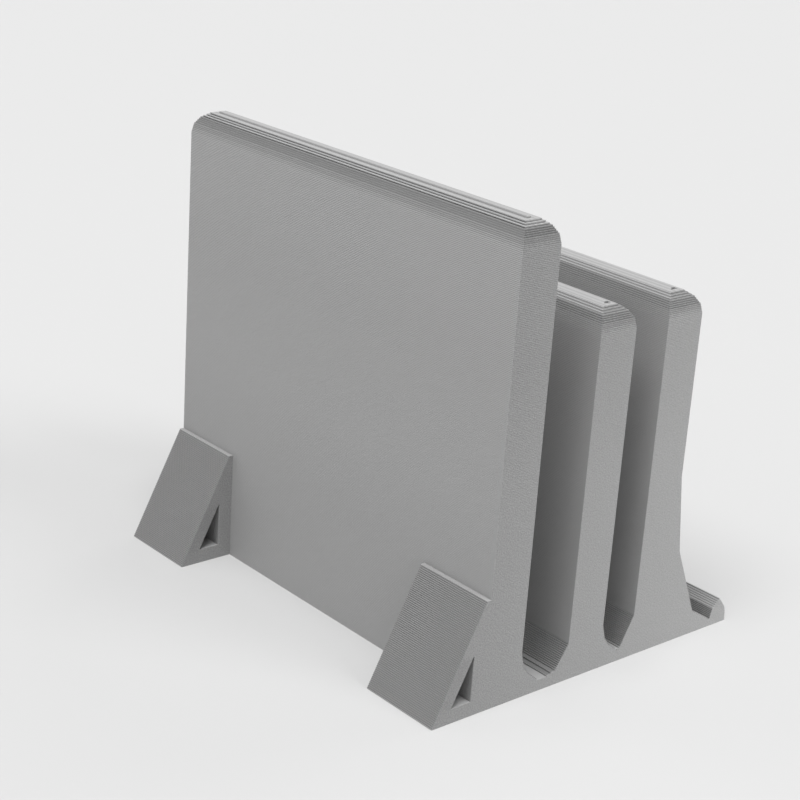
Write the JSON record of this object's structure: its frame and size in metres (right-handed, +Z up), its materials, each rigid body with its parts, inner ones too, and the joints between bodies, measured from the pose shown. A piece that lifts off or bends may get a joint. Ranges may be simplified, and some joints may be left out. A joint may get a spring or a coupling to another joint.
{
  "type": "vertical laptop stand",
  "caption": "Upright desk stand that holds closed laptops on edge in open slots, with a taller outer wall on windowed feet and a flared inner wall that runs down to a low lip",
  "frame": {"origin": "under the middle of the stand's overall box, on the surface it stands on", "axes": "+Z up; +X across the slots, from the feet of the taller wall to the lip; +Y along the slots; the end seen in the picture is -Y"},
  "size_m": [0.13, 0.16, 0.15],
  "materials": {
    "print": "layered 3d print, matte"
  },
  "bodies": {
    "root": {"stand": "print"}
  },
  "joints": []
}
